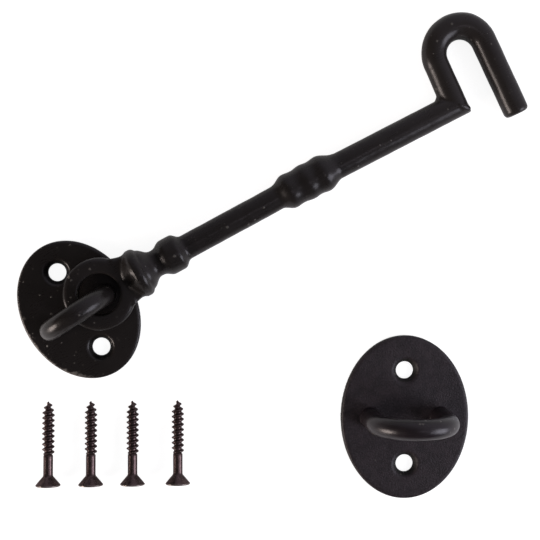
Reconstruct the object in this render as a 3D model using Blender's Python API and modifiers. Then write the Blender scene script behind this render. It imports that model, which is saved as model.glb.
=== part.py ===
"""Hook and eye latch with its four wood screws, laid out on a flat surface.

Lengths are metres and +Z points away from the surface. The origin is the centre of the hook
plate's back face, +X runs towards the hook's mouth and +Y along the hook plate's long axis.
"""

import math
from itertools import accumulate

import bmesh
import bpy
from mathutils import Matrix, Vector

# Fits between pieces
SEAT_GAP = 0.0003
SCREW_HOLE_CLEARANCE = 0.0016
COUNTERSINK_CLEARANCE = 0.0005
RIVET_RECESS = 0.0002

# Countersunk wood screw
SCREW_LENGTH = 0.0248
SCREW_HEAD_DIAMETER = 0.0073
SCREW_HEAD_ANGLE = math.radians(82.0)
SCREW_HEAD_RIM = 0.0004
SCREW_SHANK_DIAMETER = 0.0028
SCREW_SHANK_LENGTH = 0.0061
SCREW_THREAD_DIAMETER = 0.0036
SCREW_POINT_LENGTH = 0.0034
SCREW_RECESS_WIDTH = 0.0038
SCREW_RECESS_BOTTOM_WIDTH = 0.0013
SCREW_RECESS_SLOT = 0.0010
SCREW_RECESS_DEPTH = 0.0017

# Both plates
PLATE_THICKNESS = 0.0025
PLATE_EDGE_ROUND = 0.0008
RIVET_TENON_DIAMETER = 0.0040
RIVET_HEAD_DIAMETER = 0.0058

# Hook plate and its staple
HOOK_PLATE_LENGTH = 0.0428
HOOK_PLATE_WIDTH = 0.0334
HOOK_PLATE_SCREW_SPACING = 0.0254
HOOK_STAPLE_WIRE = 0.0059
HOOK_STAPLE_BEND_RADIUS = 0.0092
HOOK_STAPLE_BEND_HEIGHT = 0.0080
HOOK_STAPLE_SHIFT = -0.0006
HOOK_STAPLE_TURN = math.radians(2.8)

# Eye plate and its staple
EYE_PLATE_LENGTH = 0.0492
EYE_PLATE_WIDTH = 0.0387
EYE_PLATE_SCREW_SPACING = 0.0282
EYE_STAPLE_WIRE = 0.0060
EYE_STAPLE_BEND_RADIUS = 0.0106
EYE_STAPLE_BEND_HEIGHT = 0.0125

# Ring at the hinged end of the hook
RING_DIAMETER = 0.0210
RING_HOLE_DIAMETER = 0.0120
RING_THICKNESS = 0.0050
RING_RIM_ROUND = 0.0013
RING_HOLE_ROUND = 0.0004
RING_PULL_OUT = 0.0010
RING_SIDE_SHIFT = 0.0009

# Shoulder that joins the ring to the collar, measured along the bar from the ring's centre
SHOULDER_START_STATION = 0.0070
SHOULDER_START_WIDTH = 0.0155
SHOULDER_INSET = 0.0003

# Collar, waist and bead, whose lengths along the bar follow on from the collar's face
COLLAR_FACE_STATION = 0.0101
COLLAR_FACE_DIAMETER = 0.0133
COLLAR_RISE_LENGTH = 0.0020
COLLAR_RIM_LENGTH = 0.0005
COLLAR_DIAMETER = 0.0146
COLLAR_FALL_LENGTH = 0.0055
WAIST_LENGTH = 0.0009
WAIST_DIAMETER = 0.0080
BEAD_RISE_LENGTH = 0.0032
BEAD_RIM_LENGTH = 0.0032
BEAD_DIAMETER = 0.0108
BEAD_FALL_LENGTH = 0.0027

# Round bar, whose far half turns a little at the triple bead's first groove
NEAR_BAR_DIAMETER = 0.0073
FAR_BAR_DIAMETER = 0.0076
FAR_BAR_TURN = math.radians(-1.2)
CORNER_STATION = 0.1182

# Triple bead at the middle of the bar, whose lobes follow on from its start
TRIPLE_START_STATION = 0.0584
FIRST_LOBE_RISE_LENGTH = 0.0041
FIRST_LOBE_DIAMETER = 0.0106
FIRST_LOBE_FALL_LENGTH = 0.0028
FIRST_GROOVE_DIAMETER = 0.0101
MIDDLE_LOBE_RISE_LENGTH = 0.0032
MIDDLE_LOBE_DIAMETER = 0.0109
MIDDLE_LOBE_FALL_LENGTH = 0.0022
LAST_GROOVE_DIAMETER = 0.0104
LAST_LOBE_RISE_LENGTH = 0.0029
LAST_LOBE_DIAMETER = 0.0111
LAST_LOBE_FALL_LENGTH = 0.0053

# Hooked end, whose wire swells through the bend
MOUTH_WIDTH = 0.0086
BEND_CENTRE_HEIGHT = 0.0128
NECK_LEAN = math.radians(2.7)
BEND_START_DIAMETER = 0.0073
BEND_FULL_DIAMETER = 0.0081
BEND_FULL_ANGLE = math.radians(50.0)
LEG_DIAMETER = 0.0075
LEG_LENGTH = 0.0233
LEG_LEAN = math.radians(1.6)
LEG_TIP_ROUND = 0.0006
MITRE_OVERLAP = 0.00002

# Places on the surface
HOOK_SWING = math.radians(-1.7)
EYE_CENTRE = (0.0673, -0.0771)
LOOSE_PIECES_TURN = math.radians(-30.2)
FIRST_SCREW_CENTRE = (-0.0276, -0.0294)
SCREW_GAPS = (0.0124, 0.0122, 0.0133)

# Stations along the bar that follow from the lengths above
COLLAR_RIM_STATION = COLLAR_FACE_STATION + COLLAR_RISE_LENGTH
COLLAR_BACK_STATION = COLLAR_RIM_STATION + COLLAR_RIM_LENGTH
WAIST_STATION = COLLAR_BACK_STATION + COLLAR_FALL_LENGTH
BEAD_FOOT_STATION = WAIST_STATION + WAIST_LENGTH
BEAD_RIM_STATION = BEAD_FOOT_STATION + BEAD_RISE_LENGTH
BEAD_BACK_STATION = BEAD_RIM_STATION + BEAD_RIM_LENGTH
BEAD_TAIL_STATION = BEAD_BACK_STATION + BEAD_FALL_LENGTH
FIRST_LOBE_STATION = TRIPLE_START_STATION + FIRST_LOBE_RISE_LENGTH
FIRST_GROOVE_STATION = FIRST_LOBE_STATION + FIRST_LOBE_FALL_LENGTH
MIDDLE_LOBE_STATION = FIRST_GROOVE_STATION + MIDDLE_LOBE_RISE_LENGTH
LAST_GROOVE_STATION = MIDDLE_LOBE_STATION + MIDDLE_LOBE_FALL_LENGTH
LAST_LOBE_STATION = LAST_GROOVE_STATION + LAST_LOBE_RISE_LENGTH
TRIPLE_END_STATION = LAST_LOBE_STATION + LAST_LOBE_FALL_LENGTH

# Facets
PLATE_FACETS = 72
HOLE_FACETS = 28
WIRE_RESOLUTION = 8
BAR_RESOLUTION = 10
BEND_STEPS = 16
TURNED_STEPS = 28
RING_STEPS = 56
SCREW_STEPS = 20
ROUND_STEPS = 3
EASE_STEPS = 5

MERGE_DISTANCE = 0.000002
RIM_ANGLE = math.radians(60.0)


def clear_scene():
    for existing in list(bpy.data.objects):
        bpy.data.objects.remove(existing, do_unlink=True)


def new_collection(name):
    collection = bpy.data.collections.new(name)
    bpy.context.scene.collection.children.link(collection)
    return collection


def material(name, colour, roughness, metallic):
    made = bpy.data.materials.new(name)
    made.use_nodes = True
    shader = made.node_tree.nodes["Principled BSDF"]
    shader.inputs["Base Color"].default_value = (*colour, 1.0)
    shader.inputs["Roughness"].default_value = roughness
    shader.inputs["Metallic"].default_value = metallic
    return made


def new_object(name, mesh, collection):
    made = bpy.data.objects.new(name, mesh)
    collection.objects.link(made)
    return made


def guide(made):
    """Mark an object as a cutter or an added form, which isn't a piece of the latch."""
    made.hide_render = True
    made.display_type = "WIRE"
    return made


def settle(source):
    """Turn a curve, or a mesh with modifiers, into a plain mesh object in the same place."""
    name = source.name
    is_curve = source.type == "CURVE"
    bpy.context.view_layer.update()
    evaluated = source.evaluated_get(bpy.context.evaluated_depsgraph_get())
    mesh = bpy.data.meshes.new_from_object(evaluated)
    if is_curve:
        work = bmesh.new()
        work.from_mesh(mesh)
        bmesh.ops.remove_doubles(work, verts=work.verts, dist=MERGE_DISTANCE)
        work.to_mesh(mesh)
        work.free()
    settled = new_object(name + "_mesh", mesh, source.users_collection[0])
    settled.matrix_world = source.matrix_world.copy()
    bpy.data.objects.remove(source, do_unlink=True)
    settled.name = name
    return settled


def smooth(made, angle=math.radians(40.0)):
    made.data.shade_smooth()
    made.data.set_sharp_from_angle(angle=angle)


def boolean(target, other, operation):
    """Cut or add a form, which shares the target's parent so that both move together."""
    other.parent = target.parent
    step = target.modifiers.new(operation.lower() + " " + other.name, "BOOLEAN")
    step.operation = operation
    step.solver = "EXACT"
    step.object = other


def arc(centre, radius, start, end, steps):
    """Points on an arc in a plane, from one angle to another."""
    turn = (end - start) / steps
    return [
        (centre[0] + radius * math.cos(start + turn * i), centre[1] + radius * math.sin(start + turn * i))
        for i in range(steps + 1)
    ]


def ease(start, end, steps):
    """Half a cosine wave from one (station, radius) to the next, without its first point."""
    points = []
    for i in range(1, steps + 1):
        share = i / steps
        rise = (1.0 - math.cos(math.pi * share)) / 2.0
        points.append((start[0] + (end[0] - start[0]) * share, start[1] + (end[1] - start[1]) * rise))
    return points


def turned(name, outline, steps, collection, closed_ring=False):
    """Turn an outline of (height, radius) points, listed from the top down, about the Z axis."""
    points = [(radius, 0.0, height) for height, radius in outline]
    edges = [(i, i + 1) for i in range(len(points) - 1)]
    if closed_ring:
        edges.append((len(points) - 1, 0))
    mesh = bpy.data.meshes.new(name)
    mesh.from_pydata(points, edges, [])
    made = new_object(name, mesh, collection)
    screw = made.modifiers.new("turn", "SCREW")
    screw.axis = "Z"
    screw.angle = math.tau
    screw.steps = steps
    screw.render_steps = steps
    screw.use_merge_vertices = True
    screw.merge_threshold = MERGE_DISTANCE
    return made


def wire(name, points, radii, resolution, collection, end_round=0.0):
    """A round wire through a row of points, as thick at each as its radius, with flat or rounded ends."""
    curve = bpy.data.curves.new(name, "CURVE")
    curve.dimensions = "3D"
    curve.bevel_depth = radii[0]
    curve.bevel_resolution = resolution
    curve.use_fill_caps = True
    spline = curve.splines.new("POLY")
    spline.points.add(len(points) - 1)
    for point, place, radius in zip(spline.points, points, radii):
        point.co = (*place, 1.0)
        point.radius = radius / radii[0]
    made = new_object(name, curve, collection)
    if end_round:
        weld = made.modifiers.new("weld caps", "WELD")
        weld.merge_threshold = MERGE_DISTANCE
        bevel = made.modifiers.new("round ends", "BEVEL")
        bevel.limit_method = "ANGLE"
        bevel.angle_limit = RIM_ANGLE
        bevel.width = end_round
        bevel.segments = 2
    return settle(made)


def oval_blank(name, length, width, collection):
    """The flat oval plate with its upper edge rounded, before any hole is cut."""
    curve = bpy.data.curves.new(name, "CURVE")
    curve.dimensions = "2D"
    curve.fill_mode = "BOTH"
    curve.extrude = PLATE_THICKNESS / 2.0
    spline = curve.splines.new("POLY")
    spline.points.add(PLATE_FACETS - 1)
    for i, point in enumerate(spline.points):
        turn = math.tau * i / PLATE_FACETS
        point.co = (width / 2.0 * math.cos(turn), length / 2.0 * math.sin(turn), 0.0, 1.0)
    spline.use_cyclic_u = True
    blank = new_object(name, curve, collection)
    blank.location.z = PLATE_THICKNESS / 2.0
    blank = settle(blank)
    work = bmesh.new()
    work.from_mesh(blank.data)
    upper = PLATE_THICKNESS / 2.0 - MERGE_DISTANCE
    rim = [
        edge for edge in work.edges
        if min(vertex.co.z for vertex in edge.verts) > upper and edge.calc_face_angle(0.0) > RIM_ANGLE
    ]
    bmesh.ops.bevel(work, geom=rim, offset=PLATE_EDGE_ROUND, segments=ROUND_STEPS, profile=0.5, affect="EDGES")
    work.to_mesh(blank.data)
    work.free()
    return blank


def screw_hole_outline():
    """A through hole for the screw's thread, with a countersink for its head in the front face."""
    hole = (SCREW_THREAD_DIAMETER + SCREW_HOLE_CLEARANCE) / 2.0
    sink = (SCREW_HEAD_DIAMETER + COUNTERSINK_CLEARANCE) / 2.0
    slope = math.tan(SCREW_HEAD_ANGLE / 2.0)
    over = PLATE_THICKNESS / 2.0
    return [
        (PLATE_THICKNESS + over, 0.0),
        (PLATE_THICKNESS + over, sink + over * slope),
        (PLATE_THICKNESS - (sink - hole) / slope, hole),
        (-over, hole),
        (-over, 0.0),
    ]


def tenon_hole_outline():
    """A through hole for a staple's tenon, with a sink for the riveted end in the back face."""
    hole = RIVET_TENON_DIAMETER / 2.0 + SEAT_GAP
    sink = RIVET_HEAD_DIAMETER / 2.0 + SEAT_GAP
    over = PLATE_THICKNESS / 2.0
    return [
        (PLATE_THICKNESS + over, 0.0),
        (PLATE_THICKNESS + over, hole),
        (sink - hole, hole),
        (-over, sink + over),
        (-over, 0.0),
    ]


def tail_centres(bend_radius, shift=0.0, turn=0.0):
    """Where a staple's two tails go through its plate, which may be a little off the plate's middle."""
    middle = Vector((0.0, shift, 0.0))
    across = Vector((math.cos(turn), math.sin(turn), 0.0)) * bend_radius
    return (middle - across, middle + across)


def plate(name, length, width, screw_spacing, tails, anchor, finish, parts, cutters):
    """A backplate with two countersunk screw holes and two riveted holes for its staple."""
    made = oval_blank(name, length, width, parts)
    made.parent = anchor
    for side, tail in zip((-1.0, 1.0), tails):
        screw_hole = guide(turned(name + "_screw_hole", screw_hole_outline(), HOLE_FACETS, cutters))
        screw_hole.location.y = side * screw_spacing / 2.0
        tenon_hole = guide(turned(name + "_tenon_hole", tenon_hole_outline(), HOLE_FACETS, cutters))
        tenon_hole.location = tail
        boolean(made, screw_hole, "DIFFERENCE")
        boolean(made, tenon_hole, "DIFFERENCE")
    smooth(made)
    made.data.materials.append(finish)
    return made


def staple(name, wire_diameter, bend_height, tails, anchor, finish, parts, cutters):
    """A bent wire staple whose legs end in tenons, riveted over in the plate's back face."""
    left, right = tails
    middle = (left + right) / 2.0
    across = (right - left) / 2.0
    shoulder = PLATE_THICKNESS + SEAT_GAP
    bend = arc((0.0, bend_height), across.length, 0.0, math.pi, BEND_STEPS)
    path = [(across.length, 0.0, shoulder)]
    path += [(x, 0.0, z) for x, z in bend]
    path += [(-across.length, 0.0, shoulder)]
    made = wire(name, path, [wire_diameter / 2.0] * len(path), WIRE_RESOLUTION, parts)
    made.parent = anchor
    made.location = middle
    made.rotation_euler.z = math.atan2(across.y, across.x)
    tenon_radius = RIVET_TENON_DIAMETER / 2.0
    head_radius = RIVET_HEAD_DIAMETER / 2.0
    for centre in (left, right):
        outline = [
            (shoulder + wire_diameter / 4.0, 0.0),
            (shoulder + wire_diameter / 4.0, tenon_radius),
            (RIVET_RECESS + head_radius - tenon_radius, tenon_radius),
            (RIVET_RECESS, head_radius),
            (RIVET_RECESS, 0.0),
        ]
        tail = guide(turned(name + "_tail", outline, HOLE_FACETS, cutters))
        tail.location = centre
        boolean(made, tail, "UNION")
    smooth(made)
    made.data.materials.append(finish)
    return made


def ring_outline():
    """The ring's section, down its outer side and back up through the hole."""
    outer = RING_DIAMETER / 2.0
    inner = RING_HOLE_DIAMETER / 2.0
    half = RING_THICKNESS / 2.0
    quarter = math.pi / 2.0
    corners = (
        (outer, half, -1.0, -1.0, RING_RIM_ROUND, quarter),
        (outer, -half, -1.0, 1.0, RING_RIM_ROUND, 0.0),
        (inner, -half, 1.0, 1.0, RING_HOLE_ROUND, -quarter),
        (inner, half, 1.0, -1.0, RING_HOLE_ROUND, -2.0 * quarter),
    )
    outline = []
    for radius, height, inward, down, rounding, start in corners:
        centre = (radius + inward * rounding, height + down * rounding)
        for x, z in arc(centre, rounding, start, start - quarter, ROUND_STEPS):
            outline.append((z, x))
    return outline


def collar_outline():
    """Bead, waist, collar and the shoulder's cone, from the bar's side back into the ring."""
    bar = NEAR_BAR_DIAMETER / 2.0
    face = (COLLAR_FACE_STATION, COLLAR_FACE_DIAMETER / 2.0)
    collar_rim = (COLLAR_RIM_STATION, COLLAR_DIAMETER / 2.0)
    collar_back = (COLLAR_BACK_STATION, COLLAR_DIAMETER / 2.0)
    waist = (WAIST_STATION, WAIST_DIAMETER / 2.0)
    bead_foot = (BEAD_FOOT_STATION, WAIST_DIAMETER / 2.0)
    bead_rim = (BEAD_RIM_STATION, BEAD_DIAMETER / 2.0)
    bead_back = (BEAD_BACK_STATION, BEAD_DIAMETER / 2.0)
    tail = (BEAD_TAIL_STATION, bar)
    inside_ring = RING_THICKNESS / 2.0 - SHOULDER_INSET
    outline = [(tail[0], 0.0), tail]
    outline += ease(tail, bead_back, EASE_STEPS)
    outline.append(bead_rim)
    outline += ease(bead_rim, bead_foot, EASE_STEPS)
    outline.append(waist)
    outline += ease(waist, collar_back, EASE_STEPS)
    outline.append(collar_rim)
    outline += ease(collar_rim, face, ROUND_STEPS)
    outline += [(SHOULDER_START_STATION, inside_ring), (SHOULDER_START_STATION, 0.0)]
    return outline


def triple_bead_outline():
    """Three lobes with narrow grooves between them, from the mouth's side to the ring's."""
    turning = (
        (TRIPLE_END_STATION, FAR_BAR_DIAMETER),
        (LAST_LOBE_STATION, LAST_LOBE_DIAMETER),
        (LAST_GROOVE_STATION, LAST_GROOVE_DIAMETER),
        (MIDDLE_LOBE_STATION, MIDDLE_LOBE_DIAMETER),
        (FIRST_GROOVE_STATION, FIRST_GROOVE_DIAMETER),
        (FIRST_LOBE_STATION, FIRST_LOBE_DIAMETER),
        (TRIPLE_START_STATION, NEAR_BAR_DIAMETER),
    )
    points = [(station - FIRST_GROOVE_STATION, diameter / 2.0) for station, diameter in turning]
    outline = [(points[0][0], 0.0), points[0]]
    for start, end in zip(points, points[1:]):
        outline += ease(start, end, EASE_STEPS - 1)
    outline.append((points[-1][0], 0.0))
    return outline


def shoulder_web(cutters):
    """The flat web that fills the notch between the ring's rim and the collar."""
    mesh = bpy.data.meshes.new("bar_shoulder")
    work = bmesh.new()
    bmesh.ops.create_cube(work, size=1.0)
    for corner in work.verts:
        by_ring = corner.co.x < 0.0
        corner.co.x = SHOULDER_START_STATION if by_ring else (COLLAR_FACE_STATION + COLLAR_RIM_STATION) / 2.0
        corner.co.y *= SHOULDER_START_WIDTH if by_ring else COLLAR_FACE_DIAMETER
        corner.co.z *= RING_THICKNESS - 2.0 * SHOULDER_INSET
    work.to_mesh(mesh)
    work.free()
    return guide(new_object("bar_shoulder", mesh, cutters))


def mitre_cut(rod, corner, keep_side):
    """Cut a rod along the corner's mitre plane and keep the side that the given vector points to."""
    normal = Vector(keep_side).normalized()
    work = bmesh.new()
    work.from_mesh(rod.data)
    cut = bmesh.ops.bisect_plane(
        work,
        geom=work.verts[:] + work.edges[:] + work.faces[:],
        plane_co=Vector(corner) - normal * MITRE_OVERLAP,
        plane_no=-normal,
        clear_outer=True,
    )
    rim = [item for item in cut["geom_cut"] if isinstance(item, bmesh.types.BMEdge)]
    bmesh.ops.contextual_create(work, geom=rim)
    bmesh.ops.recalc_face_normals(work, faces=work.faces[:])
    work.to_mesh(rod.data)
    work.free()


def bend_radius_at(angle):
    """The wire's radius at an angle of the bend: thin by the neck, fullest beyond the top."""
    start, full, leg = BEND_START_DIAMETER / 2.0, BEND_FULL_DIAMETER / 2.0, LEG_DIAMETER / 2.0
    if angle > BEND_FULL_ANGLE:
        return start + (full - start) * (math.pi - angle) / (math.pi - BEND_FULL_ANGLE)
    return leg + (full - leg) * (angle + LEG_LEAN) / (BEND_FULL_ANGLE + LEG_LEAN)


def mouth_centre():
    """The bend's centre, measured from the corner along the far bar and across it."""
    neck_foot = BEND_CENTRE_HEIGHT * math.tan(NECK_LEAN)
    return (neck_foot + (BEND_START_DIAMETER + MOUTH_WIDTH) / 2.0, BEND_CENTRE_HEIGHT)


def hooked_end(cutters):
    """The far half of the bar and the neck, bend and leg of the mouth, which meet in a mitred corner.

    Both are measured from the first groove of the triple bead, about which they turn.
    """
    bar = FAR_BAR_DIAMETER / 2.0
    corner = Vector((CORNER_STATION - FIRST_GROOVE_STATION, 0.0, 0.0))
    along = Vector((1.0, 0.0, 0.0))
    neck = Vector((math.sin(NECK_LEAN), math.cos(NECK_LEAN), 0.0))
    past_corner = 2.0 * FAR_BAR_DIAMETER
    shank_path = [(FIRST_LOBE_STATION - FIRST_GROOVE_STATION, 0.0, 0.0), corner + along * past_corner]
    shank = guide(wire("bar_far_shank", shank_path, [bar, bar], BAR_RESOLUTION, cutters))
    mitre_cut(shank, corner, -along - neck)
    centre = mouth_centre()
    mouth_path = [corner - neck * past_corner, corner]
    radii = [bar, bar]
    for i in range(BEND_STEPS + 1):
        angle = math.pi - (math.pi + LEG_LEAN) * i / BEND_STEPS
        radius = bend_radius_at(angle)
        reach = MOUTH_WIDTH / 2.0 + radius
        place = Vector((centre[0] + reach * math.cos(angle), centre[1] + reach * math.sin(angle), 0.0))
        mouth_path.append(corner + place)
        radii.append(radius)
    leg = Vector((-math.sin(LEG_LEAN), -math.cos(LEG_LEAN), 0.0))
    mouth_path.append(mouth_path[-1] + leg * LEG_LENGTH)
    radii.append(radii[-1])
    mouth = guide(wire("bar_mouth", mouth_path, radii, BAR_RESOLUTION, cutters, end_round=LEG_TIP_ROUND))
    mitre_cut(mouth, corner, along + neck)
    return shank, mouth


def hook_rest():
    """The slope of the bar and the height of the ring when collar and mouth lie on the surface."""
    collar = COLLAR_DIAMETER / 2.0
    full = BEND_FULL_DIAMETER / 2.0
    reach_of_bend = mouth_centre()[0] + (MOUTH_WIDTH / 2.0 + full) * math.cos(BEND_FULL_ANGLE)
    reach = CORNER_STATION + reach_of_bend - COLLAR_BACK_STATION
    slope = math.acos(full / math.hypot(collar, reach)) - math.atan2(reach, collar)
    height = collar * math.cos(slope) + COLLAR_BACK_STATION * math.sin(slope)
    return slope, height


def hook(finish, parts, cutters):
    """The swinging hook: ring, shoulder, collar, bead, bar, triple bead and hooked end in one piece.

    It hangs from an empty on the staple's bend axis, about which it swings.
    """
    slope, height = hook_rest()
    pivot = new_object("hook_pivot", None, cutters)
    pivot.location = (0.0, 0.0, HOOK_STAPLE_BEND_HEIGHT)
    ring_centre = new_object("ring_centre", None, cutters)
    ring_centre.parent = pivot
    ring_centre.location = (
        HOOK_STAPLE_BEND_RADIUS - RING_PULL_OUT,
        RING_SIDE_SHIFT,
        height - HOOK_STAPLE_BEND_HEIGHT,
    )
    ring_centre.rotation_euler = (0.0, slope, HOOK_SWING)
    made = turned("hook", ring_outline(), RING_STEPS, parts, closed_ring=True)
    made.parent = ring_centre
    web = shoulder_web(cutters)
    collar = guide(turned("bar_collar", collar_outline(), TURNED_STEPS, cutters))
    collar.rotation_euler.y = math.pi / 2.0
    near_path = [(COLLAR_BACK_STATION, 0.0, 0.0), (MIDDLE_LOBE_STATION, 0.0, 0.0)]
    near_radii = [NEAR_BAR_DIAMETER / 2.0] * 2
    near_shank = guide(wire("bar_near_shank", near_path, near_radii, BAR_RESOLUTION, cutters))
    triple = guide(turned("bar_triple_bead", triple_bead_outline(), TURNED_STEPS, cutters))
    triple.location.x = FIRST_GROOVE_STATION
    triple.rotation_euler = (0.0, math.pi / 2.0, FAR_BAR_TURN / 2.0)
    far_shank, mouth = hooked_end(cutters)
    for form in (far_shank, mouth):
        form.location.x = FIRST_GROOVE_STATION
        form.rotation_euler.z = FAR_BAR_TURN
    for form in (web, collar, near_shank, triple, far_shank, mouth):
        boolean(made, form, "UNION")
    smooth(made)
    made.data.materials.append(finish)
    return made


def screw_outline():
    """The screw from the point at the top down to its head, with the thread as a plain envelope."""
    thread = SCREW_THREAD_DIAMETER / 2.0
    shank = SCREW_SHANK_DIAMETER / 2.0
    head = SCREW_HEAD_DIAMETER / 2.0
    cone = (head - shank) / math.tan(SCREW_HEAD_ANGLE / 2.0)
    shank_start = SCREW_HEAD_RIM + cone
    thread_start = shank_start + SCREW_SHANK_LENGTH
    tip = SCREW_LENGTH
    return [
        (tip, 0.0),
        (tip - SCREW_POINT_LENGTH / 3.0, thread / 2.0),
        (tip - SCREW_POINT_LENGTH, thread),
        (thread_start + thread - shank, thread),
        (thread_start, shank),
        (shank_start, shank),
        (SCREW_HEAD_RIM, head),
        (0.0, head),
        (0.0, 0.0),
    ]


def screw_recess(name, cutters):
    """A cross recess that narrows towards its bottom."""
    arms = []
    for turn in (0.0, math.pi / 2.0):
        mesh = bpy.data.meshes.new(name)
        work = bmesh.new()
        bmesh.ops.create_cube(work, size=1.0)
        for corner in work.verts:
            bottom = corner.co.z > 0.0
            corner.co.x *= SCREW_RECESS_BOTTOM_WIDTH if bottom else SCREW_RECESS_WIDTH
            corner.co.y *= SCREW_RECESS_SLOT
            corner.co.z = SCREW_RECESS_DEPTH if bottom else -SCREW_HEAD_RIM
        bmesh.ops.rotate(work, verts=work.verts, matrix=Matrix.Rotation(turn, 3, "Z"))
        work.to_mesh(mesh)
        work.free()
        arms.append(guide(new_object(name, mesh, cutters)))
    return arms


def screws(finish, parts, cutters):
    """Four equal screws side by side, each lying on its head's rim and its thread."""
    master = turned("screw_master", screw_outline(), SCREW_STEPS, cutters)
    for arm in screw_recess("screw_recess", cutters):
        boolean(master, arm, "DIFFERENCE")
    master = settle(master)
    smooth(master, math.radians(35.0))
    master.data.materials.append(finish)
    head = SCREW_HEAD_DIAMETER / 2.0
    thread = SCREW_THREAD_DIAMETER / 2.0
    thread_end = SCREW_LENGTH - SCREW_POINT_LENGTH
    slope = math.atan((head - thread) / (thread_end - SCREW_HEAD_RIM))
    height = head * math.cos(slope) + SCREW_HEAD_RIM * math.sin(slope)
    lie_down = Matrix.Rotation(-math.pi / 2.0 - slope, 4, "X")
    turn = Matrix.Rotation(LOOSE_PIECES_TURN, 4, "Z")
    row = turn @ Vector((1.0, 0.0, 0.0))
    back_to_head = turn @ Vector((0.0, -SCREW_LENGTH / 2.0, 0.0))
    for number, distance in enumerate(accumulate(SCREW_GAPS, initial=0.0)):
        made = new_object("screw_%d" % (number + 1), master.data, parts)
        centre = Vector((*FIRST_SCREW_CENTRE, height)) + row * distance
        made.matrix_world = Matrix.Translation(centre + back_to_head) @ turn @ lie_down
    bpy.data.objects.remove(master, do_unlink=True)


def main():
    clear_scene()
    parts = new_collection("hook_and_eye_latch")
    cutters = new_collection("cutters")
    hook_finish = material("hook_black_enamel", (0.016, 0.014, 0.014), 0.32, 0.0)
    eye_finish = material("eye_black_powder_coat", (0.026, 0.022, 0.024), 0.45, 0.0)
    screw_finish = material("screw_dark_bronze", (0.045, 0.034, 0.033), 0.36, 0.8)

    hook_place = new_object("hook_place", None, cutters)
    tails = tail_centres(HOOK_STAPLE_BEND_RADIUS, HOOK_STAPLE_SHIFT, HOOK_STAPLE_TURN)
    plate(
        "hook_plate", HOOK_PLATE_LENGTH, HOOK_PLATE_WIDTH, HOOK_PLATE_SCREW_SPACING,
        tails, hook_place, hook_finish, parts, cutters,
    )
    staple(
        "hook_staple", HOOK_STAPLE_WIRE, HOOK_STAPLE_BEND_HEIGHT,
        tails, hook_place, hook_finish, parts, cutters,
    )
    hook(hook_finish, parts, cutters)

    eye_place = new_object("eye_place", None, cutters)
    eye_place.location = (*EYE_CENTRE, 0.0)
    eye_place.rotation_euler.z = LOOSE_PIECES_TURN
    tails = tail_centres(EYE_STAPLE_BEND_RADIUS)
    plate(
        "eye_plate", EYE_PLATE_LENGTH, EYE_PLATE_WIDTH, EYE_PLATE_SCREW_SPACING,
        tails, eye_place, eye_finish, parts, cutters,
    )
    staple(
        "eye_staple", EYE_STAPLE_WIRE, EYE_STAPLE_BEND_HEIGHT,
        tails, eye_place, eye_finish, parts, cutters,
    )
    screws(screw_finish, parts, cutters)


main()
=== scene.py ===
"""Looks of the hook and eye latch: finer meshes, finishes, light, floor and camera.

Lengths are metres unless a name says otherwise. The origin is the centre of the hook plate's
back face, +X runs towards the hook's mouth and +Z points away from the surface below.
"""

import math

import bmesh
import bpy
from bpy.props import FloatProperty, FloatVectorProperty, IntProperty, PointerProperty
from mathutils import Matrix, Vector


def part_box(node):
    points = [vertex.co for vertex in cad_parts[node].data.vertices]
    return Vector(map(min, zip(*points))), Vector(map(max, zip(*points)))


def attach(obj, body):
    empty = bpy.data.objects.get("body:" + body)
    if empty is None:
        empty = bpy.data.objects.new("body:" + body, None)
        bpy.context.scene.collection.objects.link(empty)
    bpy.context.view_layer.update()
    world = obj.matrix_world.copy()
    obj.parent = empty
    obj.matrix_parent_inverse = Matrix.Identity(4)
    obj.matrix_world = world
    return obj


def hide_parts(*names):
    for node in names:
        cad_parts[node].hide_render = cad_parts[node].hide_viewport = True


bl_info = {
    "name": "Hook and Eye Latch",
    "version": (1, 0, 0),
    "blender": (4, 5, 0),
    "location": "3D View > Sidebar > Latch",
    "description": "Builds a cast hook, its two plates and four wood screws on a white floor",
    "category": "Object",
}

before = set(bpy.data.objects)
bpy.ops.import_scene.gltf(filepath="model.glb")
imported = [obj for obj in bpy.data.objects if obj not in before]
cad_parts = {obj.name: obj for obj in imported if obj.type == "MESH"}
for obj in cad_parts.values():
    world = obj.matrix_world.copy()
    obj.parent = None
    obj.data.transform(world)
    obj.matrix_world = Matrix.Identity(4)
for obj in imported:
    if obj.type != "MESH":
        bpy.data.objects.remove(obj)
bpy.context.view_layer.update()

MILLIMETRES = 1000.0
WELD = 0.0000005
QUARTER_TURN = math.pi / 2.0
SIDEWAYS = (0.0, 1.0, 0.0)
UPWARDS = (0.0, 0.0, 1.0)
AS_IT_IS = Matrix.Identity(4)
LYING_ALONG_BAR = Matrix.Rotation(QUARTER_TURN, 4, "Y")
ROUND_STEPS = 8
EASE_STEPS = 12
WHITE = (1.0, 1.0, 1.0, 1.0)
# Near-black for painted shade: in the casting's pits and below the plates' faces, in their sinks
# and on their rims.
PAINTED_SHADE_BLACK = (0.004, 0.0035, 0.003, 1.0)

# Stations along the hook's bar, from the middle of the ring.
COLLAR_BACK = 0.0126
FIRST_GROOVE = 0.0653

# Stations of the collar and of the bead beside it, each from the bar's end to the ring's.
BEAD = (0.0281, 0.0254, 0.0222, 0.0190)
COLLAR = (0.0181, 0.0146, 0.0142, 0.0134, 0.0121, 0.0072)
WAIST_RADIUS = 0.0040

# The angle of the bend at which its wire is thickest, from the leg's side.
BEND_FULL_ANGLE = math.radians(50.0)

# The slope of the screw heads' cones, their rim, the point's taper and the plain shank.
COUNTERSINK_SLOPE = math.tan(math.radians(41.0))
SCREW_RIM = 0.0004
SCREW_TAPER = 0.0034
SHANK_LENGTH = 0.0061


def box_middle(node):
    """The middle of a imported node, seen from above."""
    low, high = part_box(node)
    return Vector(((low.x + high.x) / 2.0, (low.y + high.y) / 2.0, 0.0))


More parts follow.
